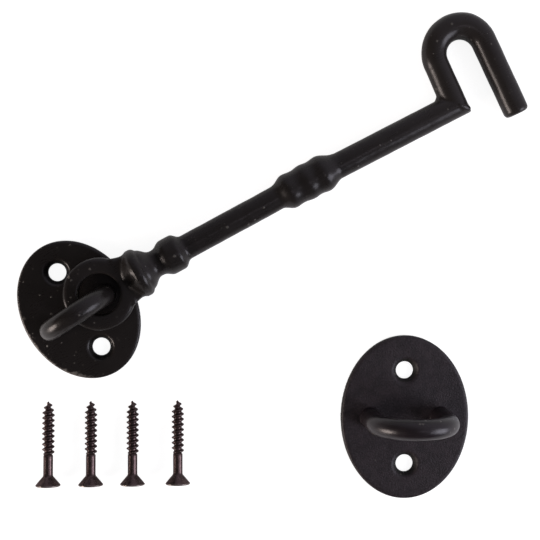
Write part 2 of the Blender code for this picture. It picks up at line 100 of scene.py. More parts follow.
def box_size(node):
    """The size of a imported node's box along each axis."""
    low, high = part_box(node)
    return high - low


def plain(name, description, default, **settings):
    """A number in the panel."""
    return FloatProperty(name=name, description=description, default=default, **settings)


def metres(name, description, default, precision=5):
    """A length in the panel."""
    return plain(name, description, default, unit="LENGTH", precision=precision)


def degrees(name, description, default):
    """An angle in the panel."""
    return plain(name, description, math.radians(default), subtype="ANGLE")


def factor(name, description, default):
    """A share from 0 to 1 in the panel."""
    return plain(name, description, default, subtype="FACTOR")


def triple(name, description, default, subtype="COLOR"):
    """A colour or a place in the panel."""
    return FloatVectorProperty(
        name=name, description=description, default=default, subtype=subtype, size=3)


class LatchSizes(bpy.types.PropertyGroup):
    """Sizes of the latch's pieces"""

    plate_thickness: metres(
        "Plate thickness", "Thickness of both backplates", box_size("hook_plate").z)
    plate_edge_round: metres("Plate edge rounding", "Radius of each plate's upper edge", 0.0008)
    hook_plate_length: metres(
        "Hook plate length", "Long axis of the hook's plate",
        box_size("hook_plate").y)
    hook_plate_width: metres(
        "Hook plate width", "Short axis of the hook's plate",
        box_size("hook_plate").x)
    hook_plate_holes: metres("Hook plate hole spacing", "Distance between its screw holes", 0.0254)
    hook_staple_wire: metres("Hook staple wire", "Wire diameter of the hook's staple", 0.0059)
    hook_staple_radius: metres(
        "Hook staple bend radius", "Radius of its bend, to the middle of its wire", 0.0092)
    hook_staple_shift: metres(
        "Hook staple shift", "How far the staple sits off the plate's short axis", -0.0006)
    hook_staple_turn: degrees("Hook staple turn", "How far askew the staple is riveted", 2.8)
    eye_plate_length: metres("Eye plate length", "Long axis of the eye's plate", 0.0492)
    eye_plate_width: metres("Eye plate width", "Short axis of the eye's plate", 0.0387)
    eye_plate_holes: metres("Eye plate hole spacing", "Distance between its screw holes", 0.0282)
    eye_staple_wire: metres("Eye staple wire", "Wire diameter of the eye", 0.0060)
    eye_bend_radius: metres(
        "Eye bend radius", "Radius of the eye's bend, to the middle of its wire", 0.0106)
    screw_hole: metres("Screw hole", "Diameter of the plates' screw holes", 0.0052)
    countersink: metres("Countersink", "Diameter of the countersinks at the plates' front", 0.0078)
    tenon: metres("Staple tenon", "Diameter of the staples' tenons in the plates", 0.0040)
    rivet_head: metres("Rivet head", "Diameter of the riveted tails in the plates' backs", 0.0058)
    ring_diameter: metres("Ring diameter", "Outer diameter of the hook's ring", 0.0210)
    ring_hole: metres("Ring hole", "Diameter of the hole in the hook's ring", 0.0120)
    ring_thickness: metres("Ring thickness", "Thickness of the hook's ring", 0.0050)
    near_bar: metres("Near bar", "Diameter of the bar before the triple bead", 0.0073)
    far_bar: metres("Far bar", "Diameter of the bar beyond the triple bead", 0.0076)
    far_bar_turn: degrees(
        "Far bar turn", "How far the bar's far half turns at the triple bead", -1.2)
    collar_diameter: metres(
        "Collar diameter", "Widest diameter of the collar beside the ring", 0.0146)
    bead_diameter: metres("Bead diameter", "Diameter of the bead after the collar", 0.0108)
    corner_station: metres(
        "Corner station", "Distance from the ring's centre to the hook's corner", 0.1182)
    mouth_width: metres("Mouth width", "Clear width between the hook's neck and its leg", 0.0086)
    bend_height: metres(
        "Bend height", "Distance from the far bar to the centre of the bend", 0.0128)
    neck_lean: degrees("Neck lean", "How far the neck leans towards the leg", 2.7)
    bend_diameter: metres(
        "Bend diameter", "Diameter of the wire where the bend is thickest", 0.0081)
    leg_diameter: metres("Leg diameter", "Diameter of the hook's leg", 0.0075)
    leg_length: metres("Leg length", "Straight length of the hook's leg", 0.0233)
    leg_lean: degrees("Leg lean", "How far the leg leans towards the neck", 1.6)
    hook_swing: degrees(
        "Hook swing", "How far the hook is turned on its staple, seen from above", -1.7)
    screw_length: metres("Screw length", "Length from a screw's face to its point", 0.0248)
    screw_head: metres("Screw head", "Diameter of the countersunk head", 0.0073)
    screw_shank: metres("Screw shank", "Diameter of the plain shank", 0.0028)
    screw_crest: metres("Thread crest", "Diameter over the thread", 0.0036)
    screw_root: metres("Thread root", "Diameter between the thread's turns", 0.0023)
    screw_pitch: metres("Thread pitch", "Length of one turn of the thread", 0.00153)
    screw_count: IntProperty(
        name="Screws", description="Number of wood screws laid side by side", default=4, min=1)


class LatchFinishes(bpy.types.PropertyGroup):
    """Colours and surfaces of the latch's pieces"""

    enamel_black: triple(
        "Enamel black", "Colour of the enamel on the hook, its plate and staple",
        (0.0086, 0.0074, 0.0069))
    powder_black: triple(
        "Powder coat black", "Colour of the powder coat on the eye and its plate",
        (0.0100, 0.0074, 0.0088))
    screw_bronze: triple(
        "Screw bronze", "Colour of the screws' dark bronze coat", (0.085, 0.060, 0.058))
    # Bare metal of chips and wear, also used for the painted reflection on the screw heads' rims.
    bare_metal: triple(
        "Bare metal", "Colour of the metal and primer that chips lay bare",
        (0.260, 0.240, 0.215))
    # This dust colour also paints the pale glints on the enamel's pimples, as painted highlights.
    dust: triple("Dust", "Colour of dust specks", (0.16, 0.15, 0.13))
    enamel_roughness: factor("Enamel roughness", "Mean roughness of the enamel", 0.29)
    powder_roughness: factor("Powder coat roughness", "Mean roughness of the powder coat", 0.46)
    screw_roughness: factor("Screw roughness", "Mean roughness of the screws' coat", 0.25)
    unevenness: metres(
        "Casting unevenness", "Height of the casting's soft lumps", 0.00012, precision=6)
    mesh_size: metres(
        "Mesh size", "Size of the faces on the cast and pressed pieces", 0.00028, precision=6)


class LatchStage(bpy.types.PropertyGroup):
    """Floor, light and camera"""

    floor_size: metres("Floor size", "Side of the square floor", 6.0, precision=2)
    floor_grey: factor("Floor shade", "Share of light that the floor gives back", 0.36)
    floor_glow: plain("Floor glow", "How far the backdrop light lifts the floor's white", 0.89)
    mirrored_glow: plain(
        "Mirrored floor glow", "How far the same light lifts the floor in reflections", 0.16)
    photo_turn: degrees("View turn", "How far the view is turned against the hook plate", 30.2)
    camera_place: triple(
        "Camera place", "Where the camera stands", (0.0421, -0.0012, 0.3020), "TRANSLATION")
    camera_aim: triple(
        "Camera aim", "The point on the floor at the middle of the view",
        (0.0545, -0.0184, 0.0), "TRANSLATION")
    camera_lens: plain("Focal length", "Focal length of the camera in millimetres", 67.5)
    key_radiance: plain("Warm softbox", "Brightness of the warm softbox at the lower left", 16.0)
    fill_radiance: plain("Cool softbox", "Brightness of the cool softbox at the right", 7.0)
    ceiling_radiance: plain(
        "Ceiling light", "Brightness of the small light high over the hook", 3.2)
    dark_side: plain(
        "Dark side", "Brightness of the room's dark side and ceiling in reflections", 0.04)
    light_side: plain("Light side", "Brightness of the room's light side in reflections", 0.90)
    ambient: plain("Ambient light", "Even light that the whole room gives", 0.25)


SETTINGS = {"latch_sizes": LatchSizes, "latch_finishes": LatchFinishes, "latch_stage": LatchStage}


def latch_settings(context):
    """The three groups of settings in the panel."""
    return [getattr(context.scene, name) for name in SETTINGS]


def moved(x=0.0, y=0.0, z=0.0):
    return Matrix.Translation((x, y, z))


def rotated(turn, axis="Z"):
    return Matrix.Rotation(turn, 4, axis)


def towards(turn):
    """The direction at an angle from +X, level with the floor."""
    return Vector((math.cos(turn), math.sin(turn), 0.0))


def around(sides):
    """The cosine and sine at each corner of a round outline."""
    turns = [math.tau * k / sides for k in range(sides)]
    return [(math.cos(turn), math.sin(turn)) for turn in turns]


def arc(centre, radius, start, end, steps):
    """Points on an arc in a plane, from one angle to another."""
    turns = [start + (end - start) / steps * i for i in range(steps + 1)]
    return [
        (centre[0] + radius * math.cos(turn), centre[1] + radius * math.sin(turn))
        for turn in turns
    ]


def ease(start, end, steps=EASE_STEPS):
    """Half a cosine wave from one (station, radius) to the next, without its first point."""
    points = []
    for i in range(1, steps + 1):
        share = i / steps
        rise = (1.0 - math.cos(math.pi * share)) / 2.0
        points.append((
            start[0] + (end[0] - start[0]) * share, start[1] + (end[1] - start[1]) * rise))
    return points


def finished(form, place=AS_IT_IS):
    """Close a form's surface, put it in place and return it as a mesh."""
    bmesh.ops.remove_doubles(form, verts=form.verts, dist=WELD)
    bmesh.ops.recalc_face_normals(form, faces=form.faces)
    form.transform(place)
    mesh = bpy.data.meshes.new("form")
    form.to_mesh(mesh)
    form.free()
    return mesh


def turned(outline, steps, place=AS_IT_IS, closed=False):
    """Turn an outline of (height, radius) points about the Z axis."""
    form = bmesh.new()
    points = [form.verts.new((radius, 0.0, height)) for height, radius in outline]
    pairs = list(zip(points, points[1:]))
    if closed:
        pairs.append((points[-1], points[0]))
    edges = [form.edges.new(pair) for pair in pairs]
    bmesh.ops.spin(
        form, geom=points + edges, cent=(0.0, 0.0, 0.0), axis=UPWARDS, angle=math.tau,
        steps=steps, use_merge=True)
    return finished(form, place)


def skinned(rings, point=None):
    """Faces round rings of points, closed at the first ring and at the last ring or a point."""
    form = bmesh.new()
    rows = [[form.verts.new(spot) for spot in ring] for ring in rings]
    for near, far in zip(rows, rows[1:]):
        for k in range(len(near)):
            form.faces.new((near[k - 1], near[k], far[k], far[k - 1]))
    form.faces.new(rows[0])
    if point is None:
        form.faces.new(rows[-1])
    else:
        tip = form.verts.new(point)
        for k in range(len(rows[-1])):
            form.faces.new((rows[-1][k - 1], rows[-1][k], tip))
    return finished(form)


def swept(path, radii, side_on, sides):
    """A round wire along a flat path, mitred where the path turns a corner.

    side_on is the direction that the whole path is square to.
    """
    side_on = Vector(side_on)
    path = [Vector(point) for point in path]
    rings = []
    for i, point in enumerate(path):
        before = (point - path[i - 1]).normalized() if i else (path[1] - point).normalized()
        after = (path[i + 1] - point).normalized() if i + 1 < len(path) else before
        along = (before + after).normalized()
        across = along.cross(side_on) / along.dot(before)
        rings.append([point + radii[i] * (across * x + side_on * y) for x, y in around(sides)])
    return skinned(rings)


def tapered_block(axis, start, end, place=AS_IT_IS):
    """A block along an axis. Each end has its place on that axis and its sizes along the others."""
    form = bmesh.new()
    bmesh.ops.create_cube(form, size=1.0)
    for corner in form.verts:
        sizes = start if corner.co[axis] < 0.0 else end
        corner.co = [sizes[k] * (1.0 if k == axis else corner.co[k]) for k in range(3)]
    return finished(form, place)


def gathered(name, forms):
    """One object that holds all the given forms."""
    work = bmesh.new()
    for form in forms:
        work.from_mesh(form)
        bpy.data.meshes.remove(form)
    mesh = bpy.data.meshes.new(name)
    work.to_mesh(mesh)
    work.free()
    return linked(name, mesh)


def linked(name, data):
    """A new object in the scene."""
    made = bpy.data.objects.new(name, data)
    bpy.context.scene.collection.objects.link(made)
    return made


def modify(made, kind, **settings):
    """Add a modifier with the given settings."""
    step = made.modifiers.new(kind.lower(), kind)
    for name, value in settings.items():
        setattr(step, name, value)


def apply_modifiers(made):
    """Replace an object's mesh by what its modifiers make of it."""
    bpy.context.view_layer.update()
    evaluated = made.evaluated_get(bpy.context.evaluated_depsgraph_get())
    mesh = bpy.data.meshes.new_from_object(evaluated)
    made.modifiers.clear()
    made.data = mesh


def cut_away(made, forms):
    """Cut forms out of an object."""
    cutter = gathered(made.name + "_cutter", forms)
    modify(made, "BOOLEAN", operation="DIFFERENCE", solver="EXACT", object=cutter)
    apply_modifiers(made)
    bpy.data.objects.remove(cutter, do_unlink=True)


def fused_skin(made, finishes, smoothing, evened, lump_size):
    """Fuse an object's forms into one soft skin with the slight unevenness of a real surface.

    evened says how many times more even it is than the casting.
    """
    lumps = bpy.data.textures.new(made.name + "_lumps", "CLOUDS")
    lumps.noise_scale = lump_size
    lumps.noise_depth = 1
    modify(made, "REMESH", mode="VOXEL", voxel_size=finishes.mesh_size)
    modify(made, "SMOOTH", factor=0.5, iterations=smoothing)
    modify(
        made, "DISPLACE", texture=lumps, texture_coords="LOCAL",
        strength=finishes.unevenness / evened, mid_level=0.5)
    apply_modifiers(made)
    made.data.shade_smooth()


def seat(made, body, node, finish):
    """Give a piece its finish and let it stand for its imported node."""
    made.data.materials.clear()
    made.data.materials.append(finish)
    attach(made, body)
    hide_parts(node)


class Output:
    """A shader node's output. Reckoning with it adds the Math nodes that do the same."""

    def __init__(self, tree, socket):
        self.tree = tree
        self.socket = socket

    def maths(self, operation, first, second):
        return output(self.tree, "ShaderNodeMath", {0: first, 1: second}, operation=operation)

    def __add__(self, other):
        return self.maths("ADD", self, other)

    def __sub__(self, other):
        return self.maths("SUBTRACT", self, other)

    def __rsub__(self, other):
        return self.maths("SUBTRACT", other, self)

    def __mul__(self, other):
        return self.maths("MULTIPLY", self, other)

    def __rtruediv__(self, other):
        return self.maths("DIVIDE", other, self)

    def below(self, limit):
        return self.maths("LESS_THAN", self, limit)

    def or_more(self, other):
        return self.maths("MAXIMUM", self, other)


def node(tree, kind, inputs=None, **settings):
    """Add a shader node, with a value or another node's output for each of the given inputs."""
    made = tree.nodes.new(kind)
    for name, value in settings.items():
        setattr(made, name, value)
    for key, value in (inputs or {}).items():
        if isinstance(value, Output):
            tree.links.new(value.socket, made.inputs[key])
        else:
            made.inputs[key].default_value = value
    return made


def output(tree, kind, inputs=None, socket=0, **settings):
    """Add a shader node and return one of its outputs."""
    return Output(tree, node(tree, kind, inputs, **settings).outputs[socket])


def ramp(value, low, high, to_low=0.0, to_high=1.0):
    """A smooth step of a value from one level to another."""
    inputs = {
        "Value": value, "From Min": low, "From Max": high, "To Min": to_low, "To Max": to_high}
    return output(value.tree, "ShaderNodeMapRange", inputs, interpolation_type="SMOOTHSTEP")


def blend(share, first, second):
    """The first colour, with a share of the second over it."""
    inputs = {0: share, 6: first, 7: second}
    return output(share.tree, "ShaderNodeMix", inputs, 2, data_type="RGBA")


def vector_maths(operation, vector, other, socket="Vector"):
    return output(
        vector.tree, "ShaderNodeVectorMath", {0: vector, 1: other}, socket, operation=operation)


def part_of(vector, axis):
    """One of a vector's numbers: X, Y or Z."""
    return output(vector.tree, "ShaderNodeSeparateXYZ", {0: vector}, axis)


def place_in_millimetres(tree):
    """The place on the piece, in millimetres from the piece's own origin."""
    place = output(tree, "ShaderNodeTexCoord", socket="Object")
    return vector_maths("MULTIPLY", place, (MILLIMETRES, MILLIMETRES, MILLIMETRES))


def noise(place, size, detail=2.0, roughness=0.5):
    """Noise whose patches are about size millimetres wide, around 0.5."""
    inputs = {"Vector": place, "Scale": 1.0 / size, "Detail": detail, "Roughness": roughness}
    return output(place.tree, "ShaderNodeTexNoise", inputs, "Fac")


def specks(place, spacing, size, share):
    """Small round specks: one in a share of the cells, each up to size cells wide."""
    inputs = {"Vector": place, "Scale": 1.0 / spacing}
    cells = node(place.tree, "ShaderNodeTexVoronoi", inputs)
    colour = Output(place.tree, cells.outputs["Color"])
    luck = node(place.tree, "ShaderNodeSeparateColor", {0: colour})
    chosen, reach = (Output(place.tree, luck.outputs[k]) for k in range(2))
    inside = reach * size - Output(place.tree, cells.outputs["Distance"])
    return ramp(inside, 0.0, 0.06) * chosen.below(share)


def bump(height, depth, strength=1.0, **more):
    """A normal that a height tilts."""
    inputs = {"Height": height, "Distance": depth, "Strength": strength, **more}
    return output(height.tree, "ShaderNodeBump", inputs)


def feed(target, **sources):
    """Link outputs to a node's inputs, which are named with _ for a blank."""
    for label, source in sources.items():
        source.tree.links.new(source.socket, target.inputs[label.replace("_", " ")])


def label_of(word):
    return word.replace("_", " ").title()


def new_group(name, **inputs):
    """A shader node group with named number inputs. Returns it, a place in it and those numbers."""
    group = bpy.data.node_groups.new(name, "ShaderNodeTree")
    for word, default in inputs.items():
        socket = group.interface.new_socket(
            name=label_of(word), in_out="INPUT", socket_type="NodeSocketFloat")
        socket.default_value = default
    enter = node(group, "NodeGroupInput")
    given = [Output(group, enter.outputs[label_of(word)]) for word in inputs]
    return (group, place_in_millimetres(group), *given)


def with_outputs(group, **results):
    """Finish a shader node group by its named outputs."""
    for label in results:
        group.interface.new_socket(name=label, in_out="OUTPUT", socket_type="NodeSocketFloat")
    feed(node(group, "NodeGroupOutput"), **results)
    return group


def cast_skin_group():
    """Soft lumps, fine grain, blow-holes and pimples of a casting under paint."""
    group, place, lump_size, grain_size, pit_spacing, pit_share, spacing, share = new_group(
        "Cast Skin", lump_size=2.2, grain_size=0.22, pit_spacing=2.6, pit_share=0.16,
        pimple_spacing=2.1, pimple_share=0.45)
    lumps = noise(place, lump_size, detail=1.0)
    grain = noise(place, grain_size)
    pits = specks(place, pit_spacing, 0.13, pit_share)
    elsewhere = vector_maths("ADD", place, (37.0, 11.0, 5.0))
    pimples = specks(elsewhere, spacing, 0.24, share)
    height = lumps + grain * 0.12 - pits * 0.9 + pimples * 2.6
    return with_outputs(group, Height=height, Pits=pits, Pimples=pimples)


def powder_coat_group():
    """The fine orange peel of a baked powder coat, and its faint mottling."""
    group, place, grain_size, mottle_size = new_group(
        "Powder Coat", grain_size=0.50, mottle_size=3.0)
    peel = noise(place, grain_size, detail=2.5, roughness=0.6)
    patches = noise(place, mottle_size, detail=3.0, roughness=0.65)
    return with_outputs(group, Height=peel, Mottle=(patches + peel) * 0.5)


def edge_wear_group():
    """Paint rubbed and chipped from raised edges, broken up by noise."""
    group, place, reach, patch_size, share = new_group(
        "Edge Wear", reach=0.5, patch_size=0.8, share=0.5)
    raised = output(group, "ShaderNodeNewGeometry", socket="Pointiness")
    edge = ramp(raised, 0.51, 0.62 - reach * 0.09)
    broken = noise(place, patch_size, detail=4.0, roughness=0.7)
    level = 1.0 - share * 0.5
    wear = ramp(edge * 0.45 + broken, level, level + 0.05)
    return with_outputs(group, Wear=wear * edge)


def dust_group():
    """Pale specks of dust, which lie in clusters on faces that point upwards."""
    group, place, spacing, share = new_group("Dust", spacing=0.9, share=0.2)
    clusters = ramp(noise(place, 3.5, detail=3.0, roughness=0.6), 0.46, 0.58)
    facing = output(group, "ShaderNodeNewGeometry", socket="Normal")
    lying = ramp(part_of(facing, "Z"), 0.1, 0.7)
    return with_outputs(group, Dust=specks(place, spacing, 0.36, share) * clusters * lying)


def handling_group():
    """Roughness of a surface that hands and packing have rubbed in places."""
    group, place, roughness, spread, patch_size = new_group(
        "Handling", roughness=0.4, spread=0.1, patch_size=5.0)
    patches = noise(place, patch_size, detail=5.0, roughness=0.62)
    rubs = noise(vector_maths("MULTIPLY", place, (0.35, 1.4, 1.0)), 0.6, detail=3.0)
    change = (patches + rubs * 0.5 - 0.75) * (spread * 4.0)
    return with_outputs(group, Roughness=roughness + change)


def effect(tree, build, **values):
    """Place a shared node group, which is built the first time that it is wanted."""
    name = label_of(build.__name__.removesuffix("_group"))
    made = node(tree, "ShaderNodeGroup", node_tree=bpy.data.node_groups.get(name) or build())
    for word, value in values.items():
        made.inputs[label_of(word)].default_value = value
    return [Output(tree, socket) for socket in made.outputs]


def finish_of(name, build, *details, **numbers):
    """The material of this name, which is built the first time that it is wanted."""
    made = bpy.data.materials.get(name)
    if made is None:
        made = bpy.data.materials.new(name)
        made.use_nodes = True
        shader = made.node_tree.nodes["Principled BSDF"]
        build(made.node_tree, shader, *details, **numbers)
    return made


def shade(colour, brightness=1.0):
    """A colour from the panel for a shader node, made brighter or darker."""
    return (*[channel * brightness for channel in colour], 1.0)


def deep_part(place, top):
    """What lies below a plate's face, in its sinks and on its rim: painted dark there as painted
    shade, and made duller on the powder coat.
    """
    lowest, highest = (top - 0.0007) * MILLIMETRES, (top - 0.0001) * MILLIMETRES
    return ramp(part_of(place, "Z"), lowest, highest, 1.0, 0.0)


def rim_flakes(place, width, length):
    """Where paint has flaked off in patches along an oval plate's rim, away from its upper end."""
    scale = (2.0 / (width * MILLIMETRES), 2.0 / (length * MILLIMETRES), 0.0)
    oval = vector_maths("MULTIPLY", place, scale)
    near_rim = ramp(vector_maths("LENGTH", oval, (0.0, 0.0, 0.0), "Value"), 0.84, 0.97)
    broken = noise(place, 1.5, detail=4.0, roughness=0.62)
    flaked = ramp(broken + near_rim * 0.16, 0.66, 0.77) * near_rim
    return flaked * ramp(part_of(place, "Y"), 3.0, 10.0, 1.0, 0.0)


def enamel(tree, shader, finishes, worn_from, worn_to, chips, specks_share, plate=None):
    """Black enamel on a casting or a pressing, chipped and dust-specked towards one side, with pale
    painted glints on its pimples, painted shade in its pits and, on a plate, painted shade below
    its face.

    worn_from and worn_to are millimetres along the piece's X axis. plate is the width, length
    and thickness of a plate.
    """
    place = place_in_millimetres(tree)
    along = part_of(place, "X")
    side = ramp(along, worn_from, worn_to)
    height, pits, pimples = effect(tree, cast_skin_group)
    roughness, = effect(tree, handling_group, roughness=finishes.enamel_roughness, spread=0.045)
    wear, = effect(tree, edge_wear_group, reach=0.9, patch_size=0.45, share=chips)
    specks_here, = effect(tree, dust_group, share=specks_share)
    chipped = wear * (side * 0.99 + 0.01)
    # Real dust specks, densest towards one side, and pale colour on the pimples as painted glints.
    dust_and_glints = (specks_here * (side * 0.85 + 0.1)).or_more(pimples * 0.30)
    # Paler in random patches and towards the piece's far end, from 85 to 125 mm along X.
    patches_and_far_end = noise(place, 7.0, detail=4.0, roughness=0.6) * 0.6 + ramp(along, 85.0, 125.0) * 0.5
    coat = blend(patches_and_far_end, shade(finishes.enamel_black), shade(finishes.enamel_black, 2.1))
    # The blow-holes are painted near-black: painted shade in the pits.
    coat = blend(pits, coat, PAINTED_SHADE_BLACK)
    if plate:
        width, length, top = plate
        chipped = chipped.or_more(rim_flakes(place, width, length) * (side * 0.34))
        # Painted shade: the plate is painted near-black below its face, in its sinks and on its
        # rim.
        coat = blend(deep_part(place, top), coat, PAINTED_SHADE_BLACK)
    coat = blend(chipped, coat, shade(finishes.bare_metal))
    coat = blend(dust_and_glints, coat, shade(finishes.dust))
    surface = bump(height, depth=0.00006, strength=0.50)
    feed(
        shader, Base_Color=coat, Roughness=roughness + chipped.or_more(dust_and_glints) * 0.3,
        Normal=bump(1.0 - chipped, depth=0.00005, strength=0.6, Normal=surface))
    shader.inputs["IOR"].default_value = 1.30


def powder_coat(tree, shader, finishes, mean_roughness, mottling, grain, top=None):
    """Fine-textured black powder coat. top is a plate's thickness, below whose face the coat is
    painted dark as painted shade.
    """
    height, mottle = effect(tree, powder_coat_group)
    roughness, = effect(tree, handling_group, roughness=mean_roughness, spread=0.05)
    wear, = effect(tree, edge_wear_group, reach=0.6, share=0.18)
    specks_here, = effect(tree, dust_group, share=0.02)
    black, paler = shade(finishes.powder_black), shade(finishes.powder_black, mottling)
    coat = blend(ramp(mottle, 0.40, 0.60), black, paler)
    if top:
        # Painted shade below the face, in the sinks and on the rim, with a duller surface there.
        sunk_shade_mask = deep_part(place_in_millimetres(tree), top)
        coat = blend(sunk_shade_mask, coat, PAINTED_SHADE_BLACK)
        roughness = roughness + sunk_shade_mask * 0.15
    coat = blend(wear * 0.3, coat, shade(finishes.bare_metal))
    coat = blend(specks_here * 0.5, coat, shade(finishes.dust))
    feed(shader, Base_Color=coat, Roughness=roughness, Normal=bump(height, grain))
    shader.inputs["IOR"].default_value = 1.36


def screw_coat(tree, shader, finishes):
    """Dark bronze coat on turned steel: dull in the thread's roots, brighter on its crests, with a
    pale band painted round the head's face as a painted reflection.
    """
    place = place_in_millimetres(tree)
    roughness, = effect(
        tree, handling_group, roughness=finishes.screw_roughness, spread=0.08, patch_size=1.5)
    wear, = effect(tree, edge_wear_group, reach=0.4, patch_size=0.5, share=0.45)
    turning = noise(vector_maths("MULTIPLY", place, (0.15, 0.15, 4.0)), 0.5)
    patches = ramp(noise(place, 1.6, detail=3.0), 0.2, 0.8)
    coat = blend(patches, shade(finishes.screw_bronze, 0.45), shade(finishes.screw_bronze))
    # A pale band round the head's face, standing in for the bright floor's reflection: a painted
    # reflection.
    rim_painted_reflection = ramp(part_of(place, "Z"), 0.25, 0.6, 1.0, 0.0) * 0.7
    coat = blend((wear * 0.4).or_more(rim_painted_reflection), coat, shade(finishes.bare_metal))
    surface = bump(turning, depth=0.00001, strength=0.3)
    feed(shader, Base_Color=coat, Roughness=roughness, Normal=surface)
    shader.inputs["Metallic"].default_value = 0.75
    shader.inputs["Specular Tint"].default_value = (0.55, 0.48, 0.48, 1.0)


def mouth_centre(sizes):
    """The bend's centre, measured from the corner along the far bar and across it."""
    neck_foot = sizes.bend_height * math.tan(sizes.neck_lean)
    return neck_foot + (sizes.near_bar + sizes.mouth_width) / 2.0, sizes.bend_height


def hook_rest(sizes):
    """The slope of the bar and the height of the ring when collar and mouth lie on the floor."""
    collar = sizes.collar_diameter / 2.0
    full = sizes.bend_diameter / 2.0
    past_centre = (sizes.mouth_width / 2.0 + full) * math.cos(BEND_FULL_ANGLE)
    reach = sizes.corner_station + (mouth_centre(sizes)[0] + past_centre) - COLLAR_BACK
    slope = math.acos(full / math.hypot(collar, reach)) - math.atan2(reach, collar)
    return slope, collar * math.cos(slope) + COLLAR_BACK * math.sin(slope)


def ring_form(sizes):
    """The ring's section, with a soft outer rim and a nearly sharp hole."""
    outer = sizes.ring_diameter / 2.0
    inner = sizes.ring_hole / 2.0
    half = sizes.ring_thickness / 2.0
    rim, lip = 0.0013, 0.0004
    corners = (
        (outer - rim, half - rim, rim),
        (outer - rim, rim - half, rim),
        (inner + lip, lip - half, lip),
        (inner + lip, half - lip, lip),
    )
    outline = []
    for i, (radius, height, rounding) in enumerate(corners):
        start = (1 - i) * QUARTER_TURN
        for x, z in arc((radius, height), rounding, start, start - QUARTER_TURN, ROUND_STEPS):
            outline.append((z, x))
    return turned(outline, steps=144, closed=True)


def shoulder_form(sizes):
    """The flat web that fills the notch between the ring's rim and the collar."""
    ring_end = (0.0070, 0.0152, sizes.ring_thickness - 0.0001)
    collar_end = (0.0113, 0.0128, sizes.ring_thickness)
    return tapered_block(0, ring_end, collar_end)


def soften_between(made, start, end, passes):
    """Smooth an object's skin further between two places along its X axis."""
    form = bmesh.new()
    form.from_mesh(made.data)
    chosen = [corner for corner in form.verts if start < corner.co.x < end]
    for _ in range(passes):
        bmesh.ops.smooth_vert(
            form, verts=chosen, factor=0.5, use_axis_x=True, use_axis_y=True, use_axis_z=True)
    form.to_mesh(made.data)
    form.free()


def collar_form(sizes):
    """Shoulder cone, collar, waist and bead beside the ring."""
    collar = sizes.collar_diameter / 2.0
    bead = sizes.bead_diameter / 2.0
    tail, bead_front, bead_back, waist_front = BEAD
    waist_back, flank, shoulder, front, back, cone_end = COLLAR
    inside_ring = sizes.ring_thickness / 2.0 - 0.0001
    outline = [(tail, 0.0), (tail, sizes.near_bar / 2.0)]
    outline += ease(outline[-1], (bead_front, bead))
    outline.append((bead_back, bead))
    outline += ease(outline[-1], (waist_front, WAIST_RADIUS))
    outline.append((waist_back, WAIST_RADIUS))
    outline += ease(outline[-1], (flank, collar - 0.0011), ROUND_STEPS)
    outline += [(shoulder, collar - 0.0004), (front, collar), (back, collar)]
    outline += ease(outline[-1], (cone_end, inside_ring))
    outline.append((cone_end, 0.0))
    return turned(outline, steps=96, place=LYING_ALONG_BAR)


def triple_bead_form(sizes):
    """Three lobes with narrow grooves between them, measured from the first groove."""
    turning = [
        (-0.0069, sizes.near_bar / 2.0), (-0.0028, 0.0053), (0.0, 0.00505), (0.0032, 0.00545),
        (0.0054, 0.0052), (0.0083, 0.00555), (0.0136, sizes.far_bar / 2.0),
    ]
    outline = [(turning[0][0], 0.0), turning[0]]
    for start, end in zip(turning, turning[1:]):
        outline += ease(start, end)
    outline.append((turning[-1][0], 0.0))
    place = moved(FIRST_GROOVE) @ rotated(sizes.far_bar_turn / 2.0) @ LYING_ALONG_BAR
    return turned(outline, steps=96, place=place)


def bend_radius_at(sizes, angle):
    """The wire's radius at an angle of the bend: thin by the neck, fullest beyond the top."""
    full, leg = sizes.bend_diameter / 2.0, sizes.leg_diameter / 2.0
    if angle > BEND_FULL_ANGLE:
        start = sizes.near_bar / 2.0
        return start + (full - start) * (math.pi - angle) / (math.pi - BEND_FULL_ANGLE)
    return leg + (full - leg) * (angle + sizes.leg_lean) / (BEND_FULL_ANGLE + sizes.leg_lean)


def bend_and_leg(sizes, corner):
    """The wire's path and radii from the bend's start over the leg to its rounded tip."""
    centre = corner + Vector((*mouth_centre(sizes), 0.0))
    path, radii = [], []
    steps = 64
    for i in range(steps + 1):
        angle = math.pi - (math.pi + sizes.leg_lean) * i / steps
        radius = bend_radius_at(sizes, angle)
        reach = sizes.mouth_width / 2.0 + radius
        path.append(centre + reach * towards(angle))
        radii.append(radius)
    leg = towards(-QUARTER_TURN - sizes.leg_lean)
    leg_start, leg_radius = path[-1], radii[-1]
    tip_round = 0.0013
    for i in range(ROUND_STEPS + 1):
        turn = QUARTER_TURN * i / ROUND_STEPS
        to_tip = sizes.leg_length - tip_round * (1.0 - math.sin(turn))
        path.append(leg_start + leg * to_tip)
        radii.append(leg_radius - tip_round * (1.0 - math.cos(turn)))
    return path, radii


